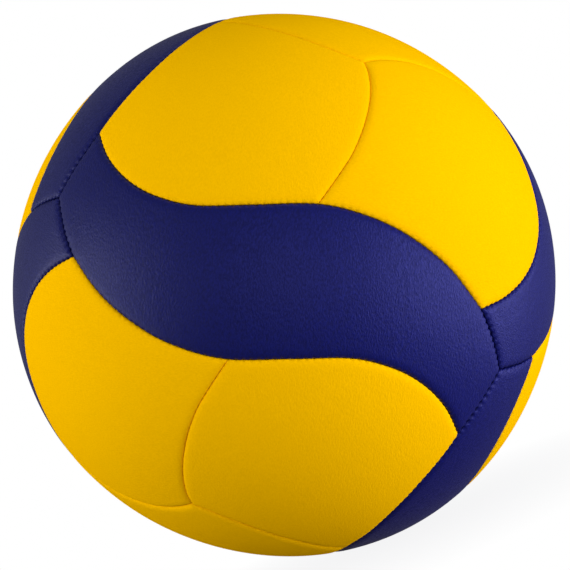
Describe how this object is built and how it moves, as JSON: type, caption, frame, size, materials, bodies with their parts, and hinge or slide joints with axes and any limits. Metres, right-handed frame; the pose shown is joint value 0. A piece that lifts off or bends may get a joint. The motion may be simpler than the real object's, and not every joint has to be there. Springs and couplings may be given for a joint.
{
  "type": "volleyball",
  "caption": "Sewn indoor volleyball of curved panels over a cloth carcass and a rubber bladder with a needle valve.",
  "frame": {"origin": "centre of the ball", "axes": "+Z out through the valve in the middle of the top band, -Y out through the middle of the front band, +X to the right"},
  "size_m": [0.211, 0.211, 0.211],
  "materials": {
    "blue_leather": "satin",
    "yellow_leather": "satin",
    "thread": "matte",
    "cloth": "matte",
    "butyl": "satin",
    "valve_rubber": "matte"
  },
  "bodies": {
    "root": {"blue_panel_front": "blue_leather", "blue_panel_back": "blue_leather", "blue_panel_left": "blue_leather", "blue_panel_right": "blue_leather", "blue_panel_top": "blue_leather", "blue_panel_bottom": "blue_leather", "yellow_panel_01": "yellow_leather", "yellow_panel_02": "yellow_leather", "yellow_panel_03": "yellow_leather", "yellow_panel_04": "yellow_leather", "yellow_panel_05": "yellow_leather", "yellow_panel_06": "yellow_leather", "yellow_panel_07": "yellow_leather", "yellow_panel_08": "yellow_leather", "yellow_panel_09": "yellow_leather", "yellow_panel_10": "yellow_leather", "yellow_panel_11": "yellow_leather", "yellow_panel_12": "yellow_leather", "seam_thread": "thread", "cloth_carcass": "cloth", "butyl_bladder": "butyl", "valve_patch": "cloth", "valve_boss": "butyl", "valve_core": "valve_rubber"}
  },
  "joints": []
}
